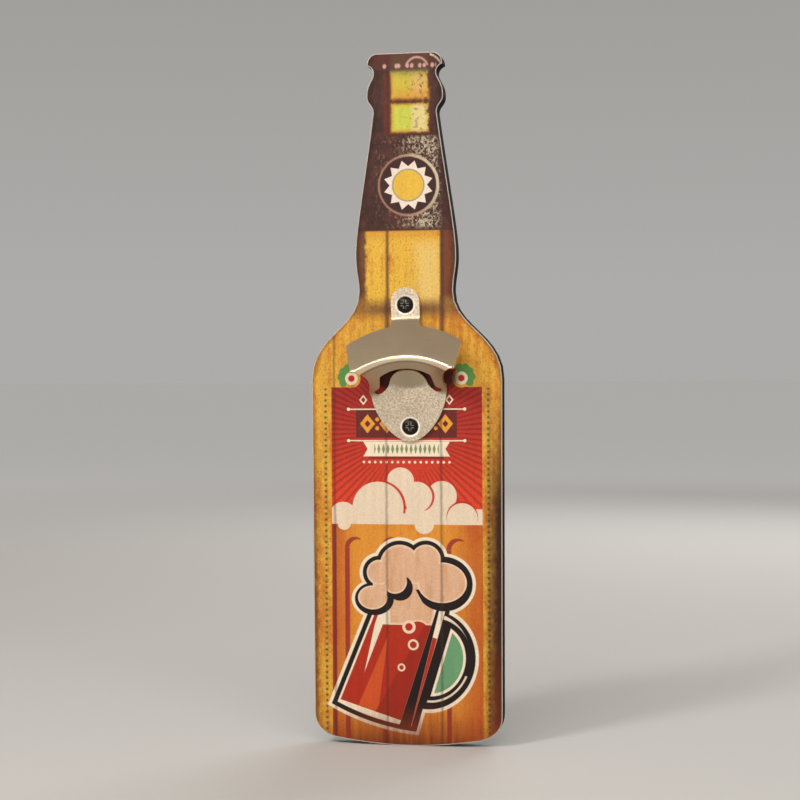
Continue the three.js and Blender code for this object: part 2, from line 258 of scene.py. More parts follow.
class Picture(Finish):                             # a finish with drawing tools on the x-z plane
    def __init__(self, name, **shader):
        super().__init__(name, **shader)
        self.point = self.place()
        self.flat = self.vector("MULTIPLY", self.point, (1, 0, 1))
        self.x = self.node("SeparateXYZ", None, {0: self.flat}, "X")
        self.z = self.node("SeparateXYZ", None, {0: self.flat}, "Z")
        self.base = None

    def distance(self, x, z):
        return self.vector("DISTANCE", self.flat, (x, 0, z), out="Value")

    def along(self, x, z, start=(0, 0)):           # how far the point lies along a direction
        total = self.vector("DOT_PRODUCT", self.flat, (x, 0, z), out="Value")
        return total - (start[0] * x + start[1] * z)

    def circle(self, x, z, radius):                # shapes are negative inside
        return self.distance(x, z) - radius

    def box(self, x, z, halfX, halfZ):
        return self.both(abs(self.x - x) - halfX, abs(self.z - z) - halfZ)

    def both(self, *shapes):                       # where all the shapes overlap
        total = shapes[0]
        for shape in shapes[1:]:
            total = self.math("MAXIMUM", total, shape)
        return total

    def any(self, *shapes):                        # where there is at least one of them
        total = shapes[0]
        for shape in shapes[1:]:
            total = self.math("MINIMUM", total, shape)
        return total

    def fill(self, shape, soft=0.3):               # 1 inside the outline, 0 outside
        return self.math("MULTIPLY_ADD", shape, -1 / soft, 0.5, clamp=True)

    def bead(self, across, along, radius):         # a dot in a repeated cell
        spot = self.node("CombineXYZ", None, {0: across, 2: along})
        return self.vector("LENGTH", spot, out="Value") - radius

    def draw(self, shape, ink, soft=0.3, strength=1):
        mask = self.fill(shape, soft)
        if strength != 1:
            mask = mask * strength
        self.base = self.blend(mask, self.base, ink)

    def tint(self, mask, ink):
        self.base = self.blend(mask, self.base, ink)


def woodPrint(art):                                # weathered planks under the whole picture
    streak = art.noise(art.point, (0.34, 0, 0.022), 4, 0.6)
    mottle = art.noise(art.point, (0.30, 0, 0.2), 4, 0.7)
    speck = art.noise(art.point, (1.0, 0, 0.85), 2, 0.7)
    cloudy = art.noise(art.point, (0.05, 0, 0.035), 2, 0.5)
    warm = streak * 0.3 + mottle * 0.35 + cloudy * 0.35
    body = art.ease(art.z, 68, 44)
    art.base = art.blend(art.ease(warm - body * 0.05, 0.34, 0.5), inks["orange"], inks["yellow"])
    art.tint(body * 0.25, inks["orange"])
    art.tint(art.ease(mottle, 0.58, 0.74) * 0.4, inks["paleWood"])
    art.tint(art.ease(speck, 0.46, 0.28) * 0.65, inks["umber"])
    art.tint(art.ease(mottle, 0.36, 0.22) * 0.15, inks["rust"])
    return streak, mottle, speck, cloudy


bottle = {                                         # half-width at each height
    "span": 200, "widest": 60,
    "stations": ((-200, 54), (12, 55.7), (28, 51.2), (39, 41.7), (49.5, 32), (62.5, 27.6), (83.5, 29.5),
                 (100, 28.2), (138, 22.5), (164, 18.8), (170, 20.4), (175.5, 22.4), (183, 20.4),
                 (188.5, 18.4), (193, 22), (198, 20), (200, 17)),
}


def halfWidthOfBottle(art):
    span, widest = bottle["span"], bottle["widest"]
    stops = [((z + span) / (2 * span), half / widest) for z, half in bottle["stations"]]
    return art.node("ValToRGB", {"stops": stops}, {0: (art.z + span) / (2 * span)}) * widest


def scorchedEdges(art, mottle, streak):
    margin = halfWidthOfBottle(art) - abs(art.x) + (mottle - 0.5) * 3
    body = art.ease(art.z, 66, 40)
    art.tint(art.ease(margin, 3.4, 0.2) * body * 0.6, inks["rust"])
    art.tint(art.ease(margin, 4.6, 0) * (1 - body) * 0.6, inks["burnt"])
    right = art.ease(art.x, -6, 6)
    lower = art.ease(art.z, 14, -70)
    left = (1 - right) * lower
    art.tint(art.ease(margin, 5, 0) * left * 0.42, inks["burnt"])
    art.tint(art.ease(margin, 12, 1.5) * right * lower * 0.96, inks["burnt"])
    foot = art.z + art.x * art.x * 0.0022 + (streak - 0.5) * 14
    art.tint(art.ease(foot, -172, -196) * 0.74, inks["rust"])
    art.tint(art.ease(margin, 9, 1) * right * art.ease(art.z, -130, -170) * 0.4, inks["rust"])
    art.tint(art.ease(foot, -190, -202) * 0.6, inks["burnt"])


neckArt = {
    "start": (50, 62), "wearAndGlint": (13.5, 73, 6.6, 17), "orangeFrom": (90, 98), "band": (52.6, 4.2),
    "litLine": 25, "litFrom": 60, "label": 97.7,
}


def bottleNeck(art, mottle, speck, cloudy):
    wobble = (mottle - 0.5) * 4
    sides = art.any(artwork["woodRight"] - art.x + wobble * 0.4, art.x - artwork["woodLeft"] + wobble)
    neck = art.ease(art.z, *neckArt["start"])
    side = art.ease(sides, 1.2, -0.6) * neck
    wearAndGlint = art.box(*neckArt["wearAndGlint"])
    art.tint(art.fill(wearAndGlint + (mottle - 0.5) * 24, 9) * 0.6, inks["paleWood"])
    art.tint(art.ease(speck, 0.36, 0.28) * neck * 0.7, inks["umber"])
    art.tint(art.ease(art.z, *neckArt["orangeFrom"]) * 0.5 * neck, inks["orange"])
    art.tint(side * 0.92, inks["plum"])
    lit = art.both(abs(art.x - neckArt["litLine"]) - 1.6, neckArt["litFrom"] - art.z) + wobble
    art.tint(art.fill(lit, 2.5) * 0.45, inks["rust"])
    bandZ, bandHalf = neckArt["band"]
    band = abs(art.z - bandZ + wobble * 1.4) - bandHalf
    art.tint(art.fill(band, 6) * (0.95 - abs(art.x) * 0.012), inks["plum"])
    wrapper = neckArt["label"] - art.z
    art.draw(wrapper, inks["dark"], 0.9)
    shade = art.ease(cloudy * 0.5 + mottle * 0.5, 0.42, 0.62) * art.fill(wrapper, 0.9)
    art.tint(shade * 0.75, inks["brown"])


panes = {                                          # two windows: foot, top, inks, how spotty
    "middle": 2.8, "half": 11.2, "divide": 4.4, "fade": (6, 14), "strip": (-11.2, 0.9, 153, 188),
    "rows": ((153.8, 171.2, "glowGreen", "glowPale", 0.45), (173.2, 189.6, "glow", "amberPale", 0.75)),
}


def neckWindows(art, mottle):
    rough = (mottle - 0.5) * 5
    spotty = art.noise(art.point, (0.36, 0, 0.36), 2, 0.6)
    stripX, stripHalf, stripFoot, stripTop = panes["strip"]
    strip = art.both(abs(art.x - stripX) - stripHalf + rough * 0.3, stripFoot - art.z, art.z - stripTop)
    art.tint(art.fill(strip, 1.6) * 0.4, inks["rust"])
    faded = art.ease(art.x, *panes["fade"])
    for low, high, left, right, spottiness in panes["rows"]:
        pane = art.box(panes["middle"], (low + high) / 2, panes["half"], (high - low) / 2)
        pane = pane + rough * (0.42 + faded * 1.1)
        art.draw(pane, inks["umber"], 1.8)
        art.draw(pane + 0.9, inks["amber"], 1.6)
        art.draw(pane + 1.5, inks[left], 2.6)
        rightHalf = art.both(pane + 1.4, panes["divide"] - art.x + rough * 0.8)
        art.draw(rightHalf, inks[right], 2.2, 0.85)
        spots = art.ease(spotty, 0.46, 0.36) * art.fill(pane, 1) * art.ease(art.x, -5, 7)
        art.tint(spots * spottiness, inks["brown"])
    across = art.fill(abs(art.x - panes["middle"]) - 11, 2)
    art.tint(art.ease(art.z, 184, 190) * across * 0.5, inks["olive"])
    art.tint(art.fill(art.box(4, 176, 10, 2.6) + rough, 3) * 0.55, inks["amber"])


label = {"foot": 99.5, "top": 151.5, "middle": 124.5, "leanFrom": 125,
         "bars": (-4.5, 145.5, 6.6, 3.8), "barPitch": 1.15}


def neckLabel(art, speck):
    blot = art.noise(art.point, (0.62, 0, 0.5), 3, 0.7)
    haze = art.noise(art.point, (0.16, 0, 0.16), 2, 0.5)
    rightward = art.ease(art.x + abs(art.z - label["leanFrom"]) * 0.1, -10, 13)
    away = art.ease(abs(art.z - label["middle"]), 12, 22)
    need = 0.575 - rightward * (0.05 + away * 0.05) + (0.5 - haze) * 0.3
    patch = art.ease(blot - need, -0.06, 0.12)
    inside = art.fill(art.both(label["foot"] - art.z, art.z - label["top"]), 2.5)
    edge = art.fill(abs(art.x - 1) - 18.5, 5)
    crumbs = patch * inside * edge * (0.35 + speck)
    art.tint(crumbs * (0.5 + rightward * 0.4), art.blend(rightward, inks["bronze"], inks["lichen"]))
    bars = art.both(art.math("PINGPONG", art.x, label["barPitch"]) - 0.45, art.box(*label["bars"]))
    art.draw(bars, inks["dark"], 0.8, 0.6)
    sunBadge(art, speck, rightward)


sun = {"at": (1.9, 123.8), "badge": 16.6, "ring": 17.2, "rays": 12, "tip": 14.5, "valley": 10.9,
       "rim": 9.5, "disc": 8.7}


def sunBadge(art, speck, rightward):
    sunX, sunZ = sun["at"]
    reach = art.distance(sunX, sunZ)
    art.draw(reach - sun["badge"], inks["dark"], 1.2)
    glint = art.blend(art.ease(art.x + art.z * 0.3, 34, 58), inks["bronze"], inks["lichen"])
    ring = abs(reach - sun["ring"]) - 0.5 - rightward * 0.3 + (speck - 0.5)
    art.tint(art.fill(ring, 0.7) * 0.85, glint)
    half = math.pi / sun["rays"]
    lean = math.atan2(sun["tip"] - sun["valley"] * math.cos(half), sun["valley"] * math.sin(half))
    angle = art.math("ARCTAN2", art.x - sunX, art.z - sunZ)
    off = art.math("PINGPONG", angle - half, half)
    star = reach * art.math("COSINE", off - lean) - sun["tip"] * math.cos(lean)
    art.draw(star, inks["petal"], 0.25)
    art.draw(reach - sun["rim"], inks["sunRim"], 0.5)
    art.draw(reach - sun["disc"], inks["sun"], 0.5)


cap = {"foot": 190.2, "arch": (7.2, 190.8, 6.3), "glint": (12.5, 189.5, 9.4), "dotPitch": 7.3,
       "dotStart": -12, "dotsZ": 192.4, "dotRadius": 0.95}


def crownCap(art, mottle):
    art.draw(cap["foot"] - art.z, inks["plum"], 1.2, 0.8)
    art.tint(art.ease(art.z, 196, 201) * 0.5, inks["maroon"])
    rough = (mottle - 0.5) * 2.4
    arch = art.both(abs(art.circle(*cap["arch"])) - 0.55 + rough * 0.4, 192.5 - art.z)
    art.draw(arch, inks["capPink"], 0.9, 0.85)
    glint = art.both(abs(art.circle(*cap["glint"])) - 0.5 + rough, 191 - art.z, 15 - art.x)
    art.draw(glint, inks["petal"], 0.8, 0.9)
    step = cap["dotPitch"]
    cell = art.math("WRAP", art.x - cap["dotStart"] + step / 2, step, 0) - step / 2
    twin = abs(abs(cell - 0.4) - art.ease(art.x, -10, 0) * 1.3)
    bead = art.bead(twin, (art.z - cap["dotsZ"]) * 0.75, cap["dotRadius"])
    art.draw(art.both(bead + rough * 0.5, abs(art.x - 1.5) - 17), inks["capPink"], 0.7, 0.9)


rays = {"from": -18, "turn": 4.2, "clear": (18, 34)}


def redPanel(art, speck):
    half, top, foot = artwork["panelHalf"], artwork["panelTop"], artwork["panelFoot"]
    cornerX, cornerZ = artwork["rosette"]
    panel = art.both(abs(art.x) - half, art.z - top, foot - art.z)
    upper = art.both(abs(art.x) - artwork["shoulderHalf"], art.z - artwork["shoulderTop"], -art.z)
    panel = art.any(panel, upper)
    notch = art.bead(abs(art.x) - cornerX, art.z - cornerZ, artwork["rosetteNotch"])
    panel = art.both(panel, -notch)
    drop = art.ease(art.z, top, foot)
    angle = art.math("ARCTAN2", art.x, art.z - rays["from"])
    reach = art.distance(0, rays["from"])
    turn = math.radians(rays["turn"])
    spoke = abs(art.math("WRAP", angle, turn / 2, -turn / 2)) / turn
    ray = art.ease(spoke + (speck - 0.5) * 0.25, 0.28, 0.12) * art.ease(reach, *rays["clear"])
    cover = art.blend(drop, inks["crimson"], inks["red"])
    cover = art.blend(ray * (0.62 - drop * 0.25), cover, inks["ray"])
    art.tint(art.fill(panel), cover)


petals = ((-1.3, 6.2), (2.2, 6.1), (4.9, 3.9), (6.0, 0.8), (4.8, -2.4))    # from the rosette's middle


def rosettes(art):
    cornerX, cornerZ = artwork["rosette"]
    side = abs(art.x) - cornerX
    up = art.z - cornerZ
    flower = art.bead(side - 2.3, up - 2.2, 4.9)
    for x, z in petals:
        flower = art.any(flower, art.bead(side - x, up - z, 2.25))
    art.draw(flower, inks["leaf"])
    art.draw(art.bead(side, up, 3.75), inks["cream"])
    art.draw(art.bead(side, up, 1.9), inks["dotRed"], 0.5)


title = {"z": -13.6, "half": (29.5, 8.1), "pitch": 11.4, "reach": 27.2, "bars": (-5.2, -23.4),
         "barHalf": 34, "diamond": (25.2, 0.2)}


def titleBlock(art, speck):
    art.draw(art.box(0, title["z"], *title["half"]), inks["maroon"])
    step = title["pitch"]
    cell = abs(art.math("WRAP", art.x, step / 2, -step / 2))
    high = abs(art.z - title["z"])
    slant = cell * 1.1 + high * 0.9
    lozenge = art.any(slant - 4.9, art.bead(cell - step / 2, high - 2.6, 1.15))
    inside = abs(art.x) - title["reach"]
    wearAndGlint = (speck - 0.5) * 1.2
    art.draw(art.both(lozenge, inside) + wearAndGlint, inks["gold"], 0.5)
    art.draw(art.both(slant - 1.9, inside), inks["maroon"], 0.5)
    besideX, besideZ = title["diamond"]
    diamond = abs(abs(art.x) - besideX) + abs(art.z - besideZ) * 0.8
    art.draw(abs(diamond - 1.9) - 0.5, inks["cream"])
    for z in title["bars"]:
        bar = art.both(abs(art.z - z) - 0.33, abs(art.x) - title["barHalf"])
        knob = art.bead(abs(art.x) - title["barHalf"], art.z - z, 0.95)
        art.draw(art.any(bar, knob), inks["cream"])


ribbon = {"z": -28.2, "half": (25.4, 4.3), "sprigPitch": 2.7, "sprigReach": 18.9, "dotsZ": -35.8,
          "dotPitch": 3.34, "dotReach": 26.6, "dotRadius": 0.74}


def ribbonAndDots(art):
    halfX, halfZ = ribbon["half"]
    height = abs(art.z - ribbon["z"])
    band = art.both(height - halfZ, abs(art.x) - halfX + (halfZ - height) * 0.62)
    shade = art.both(abs(art.z + 33.2) - 0.7, abs(art.x) - 22)
    art.draw(shade, inks["ray"], 0.4, 0.8)
    art.draw(band, inks["cream"])
    step = ribbon["sprigPitch"]
    cell = abs(art.math("WRAP", art.x, step / 2, -step / 2))
    sprig = art.both(cell * 1.9 + height * 0.55 - 1.75, height - 2.7)
    art.draw(art.both(sprig, abs(art.x) - ribbon["sprigReach"]), inks["olive"], 0.5, 0.9)
    step = ribbon["dotPitch"]
    cell = art.math("WRAP", art.x, step, 0) - step / 2
    bead = art.bead(cell, art.z - ribbon["dotsZ"], ribbon["dotRadius"])
    art.draw(art.both(bead, abs(art.x) - ribbon["dotReach"]), inks["cream"])


clouds = (                                         # x, z, radius, where the shadow falls, its foot
    (-3.6, -46.8, 7.9, 0, 0, 0), (20.6, -55.2, 8.6, 0, 0, 0), (6.2, -55.8, 8.7, 1.15, 0.2, -63.6),
    (-16.9, -62.2, 15.0, 1.15, 0.5, -65.5), (32.3, -68.2, 8.9, 0, 0.9, -70.5),
)


def cloudBank(art):
    half, base = artwork["panelHalf"], artwork["panelFoot"]
    above = base - art.z
    bank = art.both(abs(art.x) - half, art.z + 62.8)
    bank = art.any(bank, art.circle(-37.4, -67.2, 8.2), art.box(12, -61.5, 12, 4))
    bank = art.both(bank, above, abs(art.x) - half)
    drips = art.any(art.circle(-36.9, base + 0.4, 3.9), art.circle(10.2, base + 0.2, 5.7))
    art.draw(art.any(bank, drips), inks["cloud"])
    for x, z, radius, shiftX, shiftZ, foot in clouds:
        if foot:
            shadow = art.both(art.circle(x + shiftX, z + shiftZ, radius + 0.25), foot - art.z)
            if shiftX:
                shadow = art.both(shadow, x + radius / 3 - art.x)
            art.draw(shadow, inks["dotRed"], 0.4, 0.95)
        art.draw(art.both(art.circle(x, z, radius), above), inks["cloud"])


stripes = {                                        # hooked ones: x, top, how wide the hook bends
    "border": -42.9, "hooked": ((-35.2, -85.5, 5.4), (-13.4, -85.5, 5.4), (24.4, -86.5, 6)),
}


def lowerPanel(art, streak, mottle):
    half, foot = artwork["panelHalf"], artwork["panelFoot"]
    low = art.both(abs(art.x) - half, art.z - foot)
    side = art.ease(abs(art.x + 2) + (streak - 0.5) * 26, 25, 42)
    drop = art.ease(art.z, -120, -190) * 0.35
    cover = art.blend(art.math("MAXIMUM", side * 0.85, drop), inks["lowOrange"], inks["lowRed"])
    art.tint(art.fill(low) * (0.62 + mottle * 0.3), cover)
    border = abs(art.x - stripes["border"]) - 1.3
    art.draw(art.both(border, art.z - foot), inks["stripe"], 0.4, 0.85)
    for x, top, bend in stripes["hooked"]:
        stem = art.both(abs(art.x - x) - 1.4, art.z - top)
        hook = abs(art.circle(x + bend, top, bend)) - 1.4 + art.ease(art.x, x, x + 2 * bend) * 1.3
        hook = art.both(hook, top - art.z, art.x - x - bend * 1.45)
        art.draw(art.any(stem, hook), inks["stripe"], 0.4, 0.86)


def dottedLines(art):
    pitch = artwork["dotPitch"]
    cell = art.math("WRAP", art.z, pitch / 2, -pitch / 2)
    bead = art.bead(abs(art.x) - artwork["dotLine"], cell, artwork["dotRadius"])
    line = art.both(bead, art.z - artwork["dotsTo"], artwork["dotsFrom"] - art.z)
    art.draw(line, inks["dotGreen"], 0.6, 0.9)


mug = {
    "tilt": 17, "foot": (-20.0, -184.2), "footHalf": 26.1, "taper": 0.092, "sag": 2.6, "top": 73,
    "outline": 2.7, "halo": 1.9, "foamLine": 2.4, "innerLine": (15.5, 0.02), "innerBack": (22.3, -0.052),
    "foam": ((-4.2, -95.2, 14), (11.1, -92.0, 11), (-16.4, -99.8, 9.7)),
    "wide": (21.25, -105.95, 16.9, 15.8), "wideFill": (20.4, -105.3, 14.4, 11.7),
    "lobe": (-19.33, -115.1, 11.46, 9.55), "lobeFill": (-20.33, -114.4, 8.62, 6.9),
    "pour": (2.5, -115, 13.4, 15.2), "pourFoot": -129.9, "swell": (6.2, -134.2, 6.4),
    "middle": (2, -104, 12), "shoulder": (-7.2, -104.95, 7.1), "knuckle": (-4.27, -108.45, 7.53),
    "joins": ((-16, -108.9, 4.1, 3.3), (4, -100, 14, 6)), "taperAt": (5.2, -109.9),
    "taperTo": (-0.882, -0.473), "handle": (22, 42.4, 26, 28.8), "handleRim": (23.6, 43, 18.6, 21.2),
    "handleAccent": (23.2, 42.8, 21.4, 24.2), "handleGleam": (22, 42.4, 23.4, 26),
    "bubbles": ((0.9, -131.1, 3.9, 2.2), (3.4, -141.4, 3.2, 2.0), (-3.6, -154.7, 2.3, 1.3)),
}


def beerMug(art):
    tilt, start = math.radians(mug["tilt"]), mug["foot"]
    a = art.along(math.cos(tilt), -math.sin(tilt), start)      # across the glass
    u = art.along(math.sin(tilt), math.cos(tilt), start)       # up the glass
    line, half = mug["outline"], mug["footHalf"]
    wall = art.both(u * mug["taper"] - a - half, a + u * 0.02 - half)
    floor = a * a * (mug["sag"] / half ** 2) - mug["sag"] - u
    glass = art.both(wall, floor, u - mug["top"])
    handle = art.both(ellipse(art, a, u, mug["handle"]), 15 - a)
    puffs = [art.circle(x, z, radius) for x, z, radius in mug["foam"]]
    wide, lobe = (ellipse(art, art.x, art.z, mug[name]) for name in ("wide", "lobe"))
    whole = art.any(glass, handle, wide, lobe, *puffs)
    art.draw(whole - mug["halo"], inks["cream"], 0.4)
    art.draw(whole, inks["line"])
    handleOfMug(art, a, u)
    front, back = (offset + u * lean for offset, lean in (mug["innerLine"], mug["innerBack"]))
    right = a - mug["innerBack"][0]
    inner = art.both(wall + line, floor + line, u + 1 - mug["top"])
    art.draw(art.both(inner, right), inks["cream"])
    beer = art.both(inner + 1.2, a - front, 3.9 - u - (a + 20) * 0.012,
                    art.any(art.z - mug["pourFoot"], art.circle(*mug["swell"])))
    art.draw(beer, inks["beer"])
    light = art.both(beer, a - 0.4 + (u - 10) * 0.16, -10.4 - a + (u - 7) * 0.115)
    art.draw(light, inks["beerLight"], 0.5)
    art.draw(art.both(beer, 1.5 - a + (u - 11) * 0.228), inks["beerDark"], 0.5, 0.85)
    art.draw(art.both(inner + 1.2, abs(a + 12.9) - (u - 24) * 0.078), inks["cream"])
    art.draw(art.both(inner + 1.2, abs(a + 16.6) - (u - 22) * 0.05), inks["beer"])
    art.draw(art.both(inner + 0.2, back - a, right, u - 55.4), inks["beer"])
    art.draw(art.both(inner, back - a, right, u - 3.6), inks["cream"])
    art.draw(art.both(front - a, a - back, inner - 1), inks["line"])
    foamOfMug(art, puffs, wide, lobe, front - a)
    for x, z, outer, hollow in mug["bubbles"]:
        art.draw(art.circle(x, z, outer), inks["foamPale"])
        art.draw(art.circle(x, z, hollow), inks["beer"])


def ellipse(art, across, along, oval):
    middleX, middleZ, halfX, halfZ = oval
    spot = art.node("CombineXYZ", None, {0: (across - middleX) / halfX, 1: (along - middleZ) / halfZ})
    return (art.vector("LENGTH", spot, out="Value") - 1) * halfX


def handleOfMug(art, a, u):
    rim = art.both(ellipse(art, a, u, mug["handleRim"]), 28 - a)
    art.draw(rim, inks["cream"])
    art.draw(rim + 1.5, inks["green"], 0.4)
    accent = art.both(abs(ellipse(art, a, u, mug["handleAccent"])) - 0.55, u - 40, 27 - a)
    art.draw(accent, inks["cream"], 0.4, 0.9)
    thick = (37 - a) * 0.07
    gleam = art.both(abs(ellipse(art, a, u, mug["handleGleam"])) - thick, 60 - u, 22.4 - a)
    art.draw(gleam, inks["cream"], 0.4, 0.9)


def foamOfMug(art, puffs, wide, lobe, besideLine):
    line = mug["foamLine"]
    shoulder, knuckle = art.circle(*mug["shoulder"]), art.circle(*mug["knuckle"])
    wideFill, lobeFill = (ellipse(art, art.x, art.z, mug[name]) for name in ("wideFill", "lobeFill"))
    pour = art.both(art.box(*mug["pour"]), -besideLine, mug["pourFoot"] - art.z)
    pour = art.both(pour, -art.circle(*mug["swell"]))
    drawFoam(art, art.any(pour, art.circle(*mug["middle"])))
    art.draw(art.any(lobe, art.both(knuckle, art.z + 104)), inks["line"])
    fill = [puff + line for puff in puffs] + [wideFill, lobeFill, shoulder]
    fill += [art.box(*join) for join in mug["joins"]]
    drawFoam(art, art.any(*fill))
    crescent = art.both(knuckle, -shoulder, art.z + 102.5, -12 - art.x)
    taper = art.along(*mug["taperTo"], mug["taperAt"])
    tail = art.both(wide, -wideFill, art.z + 109.4, taper)
    art.draw(art.any(crescent, tail), inks["line"])


def drawFoam(art, shape):
    blush = art.noise(art.point, (0.16, 0, 0.03), 3, 0.6)
    foam = art.blend(art.ease(blush, 0.42, 0.75), inks["foam"], inks["foamWarm"])
    art.draw(shape, inks["foamPale"])
    art.tint(art.fill(shape + 0.8, 1.4), foam)


def seamsAndWear(art, streak, mottle, speck):
    wobble = (mottle - 0.5) * 1.6
    for x in artwork["seams"]:
        strength = 0.25 if x > 40 else 0.62        # the outermost seam is faint
        line = art.both(abs(art.x - x + wobble) - 0.62, art.z - 60)
        art.tint(art.fill(line, 1.3) * strength * (0.45 + streak * 0.9), inks["dark"])
    for x in artwork["neckSeams"]:
        line = art.both(abs(art.x - x + wobble) - 0.9, 24 - art.z, art.z - 98)
        art.tint(art.fill(line, 1.4) * 0.85, inks["plum"])
    wear = art.ease(mottle * 0.6 + speck * 0.4, 0.38, 0.30)
    art.tint(wear * 0.4, inks["umber"])
    art.base = art.shade(art.base, 0.54 + streak * 0.26 + mottle * 0.2 + speck * 0.46)


def paintedShadeUnderOpener(art):                              # painted shade: the print is darker behind the opener's window and right of its hood
    shadeBeneath = ellipse(art, art.x, art.z, artwork["shadeBehindHood"])
    shadowBeside = ellipse(art, art.x, art.z, artwork["shadowBesideHood"]) + 1
    art.tint(art.ease(art.any(shadeBeneath, shadowBeside), 2, -4) * 0.86, inks["burnt"])


def printFinish():
    art = Picture("printedFace", Specular_IOR_Level=0.2)
    streak, mottle, speck, cloudy = woodPrint(art)
    redPanel(art, speck)
    lowerPanel(art, streak, mottle)
    rosettes(art)
    titleBlock(art, speck)
    ribbonAndDots(art)
    cloudBank(art)
    beerMug(art)
    dottedLines(art)
    bottleNeck(art, mottle, speck, cloudy)
    neckLabel(art, speck)
    neckWindows(art, mottle)
    crownCap(art, mottle)
    scorchedEdges(art, mottle, streak)
    paintedShadeUnderOpener(art)
    seamsAndWear(art, streak, mottle, speck)
    art.put(Base_Color=art.base, Roughness=0.42 + speck * 0.14,
            Normal=art.bump(speck * 0.6 + streak * 0.4, 0.00005))
    return art.material


def boardFinish():
    board = Finish("boardPaint", Specular_IOR_Level=0.08)
    point = board.place()
    fibre = board.noise(point, (1.4, 0.25, 1.4), 4, 0.6)
    speck = board.noise(point, (5, 5, 5), 2, 0.6)
    depth = board.node("SeparateXYZ", None, {0: point}, "Y")
    rim = board.ease(depth, -11.55, -11.7)         # bare fibre shows round the print
    paint = board.blend(board.ease(fibre, 0.35, 0.7), colour(15, 13, 12), colour(32, 27, 25))
    bare = board.blend(speck, colour(176, 162, 150), colour(214, 204, 194))
    board.put(Base_Color=board.blend(rim, paint, bare), Roughness=0.75 + fibre * 0.2,
              Normal=board.bump(fibre * 0.6 + speck * 0.4, 0.00025))
    return board.material


def steelFinish():                                 # blasted plate and tab, smoother pressed hood, with painted shade and painted highlights
    steel = Finish("satinSteel", Metallic=1.0)
    point = steel.place()
    grit = steel.noise(point, (0.85, 0.85, 0.85), 3, 0.8)
    patch = steel.noise(point, (0.12, 0.12, 0.12), 3, 0.5)
    brush = steel.noise(point, (0.15, 3, 3), 3, 0.6)
    depth, height = (steel.node("SeparateXYZ", None, {0: point}, axis) for axis in ("Y", "Z"))
    face = opener["front"] - opener["gauge"]
    hood = steel.ease(depth, face - 0.15, face - 1)
    toScrews = []
    for w in (0, -opener["spacing"]):
        x, z = spotOnBoard(w)
        toScrews.append(steel.vector("DISTANCE", point, (x, face, z), out="Value"))
    # painted highlight: a bright ring round each screw hole, the countersink's rim catching the light
    rim = steel.ease(abs(steel.math("MINIMUM", *toScrews) - opener["hole"] - 0.3), 0.65, 0.2)
    foldX, foldZ = spotOnBoard(opener["foldApex"] - opener["foldRadius"])
    flat = steel.vector("MULTIPLY", point, (1, 0, 1))
    ahead = steel.vector("DISTANCE", flat, (foldX, 0, foldZ), out="Value") - opener["foldRadius"]
    # painted shade: the jaw's underside, below the fold, is darker
    under = steel.ease(ahead, -1.2, -2.6) * hood
    # painted reflection: a thin dark line just below the fold
    darkFoldReflection = steel.ease(abs(ahead + 1.9), 0.7, 0.2) * hood
    # painted shade: the plate below the hood is darker than the tab
    plate = steel.ease(height, 20, 4) * (1 - hood)
    mix = steel.ease(grit * 0.85 + patch * 0.15, 0.3, 0.7)
    tone = steel.blend(mix, colour(176, 156, 130), colour(248, 232, 208))
    tone = steel.blend(hood, tone, steel.blend(brush, colour(232, 210, 178), colour(250, 230, 198)))
    # painted shade on the jaw, along the fold and on the plate darkens the tone
    tone = steel.shade(tone, 1 - under * 0.42 - darkFoldReflection * 0.35 - plate * 0.17)
    # the painted highlight ring round the screw holes
    tone = steel.blend(rim, tone, colour(252, 242, 228))
    steel.put(Base_Color=tone, Roughness=0.38 - hood * 0.15 + grit * 0.1 + patch * 0.05,
              Normal=steel.bump((grit * (1 - hood) + brush * hood * 0.2), 0.00012))
    return steel.material


def blackFinish():
    black = Finish("blackOxide", Metallic=0.85)
    point = black.place()
    grit = black.noise(point, (3, 3, 3), 3, 0.6)
    x, z = (black.node("SeparateXYZ", None, {0: point}, axis) for axis in ("X", "Z"))
    lower = black.ease(z, 21, 19)                  # 1 at the lower screw
    (upperX, upperZ), (lowerX, lowerZ) = spotOnBoard(0), spotOnBoard(-opener["spacing"])
    fromX = abs(x - upperX - lower * (lowerX - upperX))        # from the axis of the nearer screw
    fromZ = abs(z - upperZ - lower * (lowerZ - upperZ))
    slot = abs(black.math("MINIMUM", fromX, fromZ) - 0.65)
    reach = black.math("MAXIMUM", fromX, fromZ)
    # painted highlight: pale glints along the edges of each screw's cross recess
    wearAndGlint = black.ease(slot, 0.3, 0.08) * black.ease(reach, 2.7, 2.2) * black.ease(reach, 0.7, 1.0)
    tone = black.blend(grit, colour(20, 18, 17), colour(56, 52, 48))
    black.put(Base_Color=black.blend(wearAndGlint * (0.35 + grit * 0.6), tone, colour(196, 184, 166)),
              Roughness=0.22 + grit * 0.16, Normal=black.bump(grit, 0.00005))
    return black.material


def zincFinish():
    zinc = Finish("zincPlate", Metallic=1.0)
    point = zinc.place()
    spangle = zinc.node("TexVoronoi", None, {"Vector": zinc.vector("MULTIPLY", point, (0.5, 0.5, 0.5)),
                                             "Scale": 1}, 1)
    haze = zinc.noise(point, (0.6, 0.6, 0.6), 3, 0.6)
    tone = zinc.blend(spangle, colour(158, 162, 166), colour(196, 199, 202))
    zinc.put(Base_Color=tone, Roughness=0.28 + haze * 0.2, Normal=zinc.bump(haze, 0.00004))
    return zinc.material


# pieces

def finishPiece(mesh, name, material, nodes, smoothAngle=35):
    piece = bpy.data.objects.new(name, mesh)
    bpy.context.scene.collection.objects.link(piece)
    mesh.materials.clear()
    mesh.materials.append(material)
    mesh.shade_smooth()
    mesh.set_sharp_from_angle(angle=math.radians(smoothAngle))
    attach(piece, "root")
    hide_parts(*nodes)
    return piece


